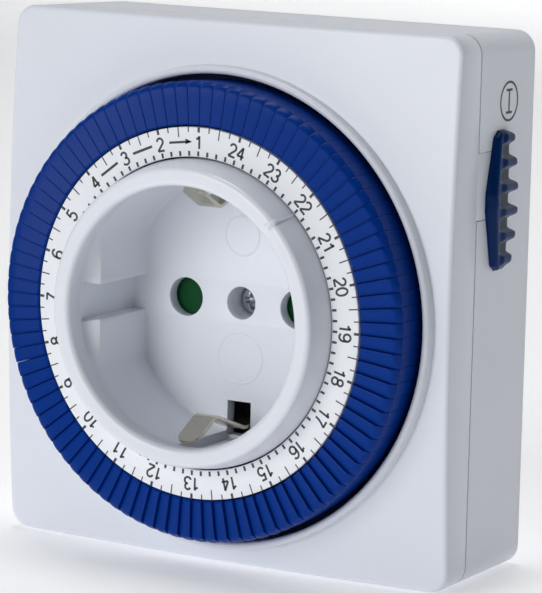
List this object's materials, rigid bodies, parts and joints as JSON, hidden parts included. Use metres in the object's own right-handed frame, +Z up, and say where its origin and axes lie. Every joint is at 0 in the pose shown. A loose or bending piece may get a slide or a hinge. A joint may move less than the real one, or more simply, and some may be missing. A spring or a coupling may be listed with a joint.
{
  "type": "plug in timer switch",
  "caption": "Square plug-in mains timer: a daily dial of press-in segments round an earthed socket recess, thumb slider at the side, round plug behind.",
  "frame": {"origin": "centre of the plug's engagement face, between the two pins where they leave it", "axes": "+Y into the wall along the pins, +Z up, +X to the right as seen from the room"},
  "size_m": [0.0771, 0.0739, 0.079],
  "materials": {
    "white_plastic": "satin moulded white",
    "scale_white": "printed white scale",
    "blue_plastic": "satin moulded blue",
    "green_plastic": "moulded dark green",
    "natural_plastic": "unpainted moulding",
    "nickel_plated": "dull nickel plate",
    "brass": "stamped brass",
    "steel": "zinc plated"
  },
  "bodies": {
    "housing": {"front_cover": "white_plastic", "rear_housing": "white_plastic", "socket_insert": "white_plastic", "chassis_plate": "natural_plastic", "case_screws": "steel", "centre_screw": "steel", "plug_pin_neutral": "nickel_plated", "plug_pin_live": "nickel_plated", "neutral_contact": "brass", "live_contact": "brass", "fixed_contact": "brass", "live_supply_bar": "brass", "earth_contact_upper": "nickel_plated", "earth_contact_lower": "nickel_plated", "earth_strap": "nickel_plated", "gear_arbors": "steel", "timer_motor": "steel", "lever_pivot_pin": "steel"},
    "dial": {"dial_ring": "blue_plastic", "hour_scale": "scale_white"},
    "gear_two": {"gear_two": "natural_plastic"},
    "gear_one": {"gear_one": "natural_plastic"},
    "motor_pinion": {"motor_pinion": "natural_plastic"},
    "shutter": {"safety_shutter": "green_plastic"},
    "slider": {"override_slider": "blue_plastic"},
    "lever": {"switch_lever": "natural_plastic"},
    "blade": {"moving_contact": "brass"},
    "tappets_hour_01": {"tappets_hour_01": "blue_plastic"},
    "tappets_hour_02": {"tappets_hour_02": "blue_plastic"},
    "tappets_hour_03": {"tappets_hour_03": "blue_plastic"},
    "tappets_hour_04": {"tappets_hour_04": "blue_plastic"},
    "tappets_hour_05": {"tappets_hour_05": "blue_plastic"},
    "tappets_hour_06": {"tappets_hour_06": "blue_plastic"},
    "tappets_hour_07": {"tappets_hour_07": "blue_plastic"},
    "tappets_hour_08": {"tappets_hour_08": "blue_plastic"},
    "tappets_hour_09": {"tappets_hour_09": "blue_plastic"},
    "tappets_hour_10": {"tappets_hour_10": "blue_plastic"},
    "tappets_hour_11": {"tappets_hour_11": "blue_plastic"},
    "tappets_hour_12": {"tappets_hour_12": "blue_plastic"},
    "tappets_hour_13": {"tappets_hour_13": "blue_plastic"},
    "tappets_hour_14": {"tappets_hour_14": "blue_plastic"},
    "tappets_hour_15": {"tappets_hour_15": "blue_plastic"},
    "tappets_hour_16": {"tappets_hour_16": "blue_plastic"},
    "tappets_hour_17": {"tappets_hour_17": "blue_plastic"},
    "tappets_hour_18": {"tappets_hour_18": "blue_plastic"},
    "tappets_hour_19": {"tappets_hour_19": "blue_plastic"},
    "tappets_hour_20": {"tappets_hour_20": "blue_plastic"},
    "tappets_hour_21": {"tappets_hour_21": "blue_plastic"},
    "tappets_hour_22": {"tappets_hour_22": "blue_plastic"},
    "tappets_hour_23": {"tappets_hour_23": "blue_plastic"},
    "tappets_hour_24": {"tappets_hour_24": "blue_plastic"}
  },
  "joints": [
    {"name": "dial_spin", "type": "hinge", "parent": "housing", "child": "dial", "pos_m": [0, -0.0414, 0], "axis": [0, 1, 0], "continuous": true},
    {"name": "override_slide", "type": "slide", "parent": "housing", "child": "slider", "axis": [0, 0, 1], "range_m": [-0.0045, 0]},
    {"name": "shutter_turn", "type": "hinge", "parent": "housing", "child": "shutter", "pos_m": [0, -0.0344, 0], "axis": [0, 1, 0], "range_deg": [0, 45], "stiffness_Nm_per_rad": 0.002, "springref_deg": -11.46},
    {"name": "lever_swing", "type": "hinge", "parent": "housing", "child": "lever", "pos_m": [0.0304, -0.0281, -0.006], "axis": [1, 0, 0], "range_deg": [0, 5.4]},
    {"name": "blade_flex", "type": "hinge", "parent": "housing", "child": "blade", "pos_m": [0.0242, -0.02555, -0.0244], "axis": [1, 0, 0], "range_deg": [0, 2.1]},
    {"name": "gear_two_spin", "type": "hinge", "parent": "housing", "child": "gear_two", "pos_m": [-0.02333, -0.0344, -0.02333], "axis": [0, 1, 0], "continuous": true},
    {"name": "gear_one_spin", "type": "hinge", "parent": "housing", "child": "gear_one", "pos_m": [-0.0243, -0.0314, -0.01137], "axis": [0, 1, 0], "continuous": true},
    {"name": "motor_pinion_spin", "type": "hinge", "parent": "housing", "child": "motor_pinion", "pos_m": [-0.02329, -0.0304, 0.00058], "axis": [0, 1, 0], "continuous": true},
    {"name": "press_hour_01", "type": "slide", "parent": "dial", "child": "tappets_hour_01", "axis": [0, 1, 0], "range_m": [0, 0.0026]},
    {"name": "press_hour_02", "type": "slide", "parent": "dial", "child": "tappets_hour_02", "axis": [0, 1, 0], "range_m": [0, 0.0026]},
    {"name": "press_hour_03", "type": "slide", "parent": "dial", "child": "tappets_hour_03", "axis": [0, 1, 0], "range_m": [0, 0.0026]},
    {"name": "press_hour_04", "type": "slide", "parent": "dial", "child": "tappets_hour_04", "axis": [0, 1, 0], "range_m": [0, 0.0026]},
    {"name": "press_hour_05", "type": "slide", "parent": "dial", "child": "tappets_hour_05", "axis": [0, 1, 0], "range_m": [0, 0.0026]},
    {"name": "press_hour_06", "type": "slide", "parent": "dial", "child": "tappets_hour_06", "axis": [0, 1, 0], "range_m": [0, 0.0026]},
    {"name": "press_hour_07", "type": "slide", "parent": "dial", "child": "tappets_hour_07", "axis": [0, 1, 0], "range_m": [0, 0.0026]},
    {"name": "press_hour_08", "type": "slide", "parent": "dial", "child": "tappets_hour_08", "axis": [0, 1, 0], "range_m": [0, 0.0026]},
    {"name": "press_hour_09", "type": "slide", "parent": "dial", "child": "tappets_hour_09", "axis": [0, 1, 0], "range_m": [0, 0.0026]},
    {"name": "press_hour_10", "type": "slide", "parent": "dial", "child": "tappets_hour_10", "axis": [0, 1, 0], "range_m": [0, 0.0026]},
    {"name": "press_hour_11", "type": "slide", "parent": "dial", "child": "tappets_hour_11", "axis": [0, 1, 0], "range_m": [0, 0.0026]},
    {"name": "press_hour_12", "type": "slide", "parent": "dial", "child": "tappets_hour_12", "axis": [0, 1, 0], "range_m": [0, 0.0026]},
    {"name": "press_hour_13", "type": "slide", "parent": "dial", "child": "tappets_hour_13", "axis": [0, 1, 0], "range_m": [0, 0.0026]},
    {"name": "press_hour_14", "type": "slide", "parent": "dial", "child": "tappets_hour_14", "axis": [0, 1, 0], "range_m": [0, 0.0026]},
    {"name": "press_hour_15", "type": "slide", "parent": "dial", "child": "tappets_hour_15", "axis": [0, 1, 0], "range_m": [0, 0.0026]},
    {"name": "press_hour_16", "type": "slide", "parent": "dial", "child": "tappets_hour_16", "axis": [0, 1, 0], "range_m": [0, 0.0026]},
    {"name": "press_hour_17", "type": "slide", "parent": "dial", "child": "tappets_hour_17", "axis": [0, 1, 0], "range_m": [0, 0.0026]},
    {"name": "press_hour_18", "type": "slide", "parent": "dial", "child": "tappets_hour_18", "axis": [0, 1, 0], "range_m": [0, 0.0026]},
    {"name": "press_hour_19", "type": "slide", "parent": "dial", "child": "tappets_hour_19", "axis": [0, 1, 0], "range_m": [0, 0.0026]},
    {"name": "press_hour_20", "type": "slide", "parent": "dial", "child": "tappets_hour_20", "axis": [0, 1, 0], "range_m": [0, 0.0026]},
    {"name": "press_hour_21", "type": "slide", "parent": "dial", "child": "tappets_hour_21", "axis": [0, 1, 0], "range_m": [0, 0.0026]},
    {"name": "press_hour_22", "type": "slide", "parent": "dial", "child": "tappets_hour_22", "axis": [0, 1, 0], "range_m": [0, 0.0026]},
    {"name": "press_hour_23", "type": "slide", "parent": "dial", "child": "tappets_hour_23", "axis": [0, 1, 0], "range_m": [0, 0.0026]},
    {"name": "press_hour_24", "type": "slide", "parent": "dial", "child": "tappets_hour_24", "axis": [0, 1, 0], "range_m": [0, 0.0026]}
  ],
  "couplings": [
    {"joint": "gear_two_spin", "follows": "dial_spin", "ratio": -10},
    {"joint": "gear_one_spin", "follows": "dial_spin", "ratio": 30},
    {"joint": "motor_pinion_spin", "follows": "dial_spin", "ratio": -90},
    {"joint": "lever_swing", "follows": "override_slide", "rad_per_m": -20},
    {"joint": "blade_flex", "follows": "override_slide", "rad_per_m": -7.78}
  ]
}
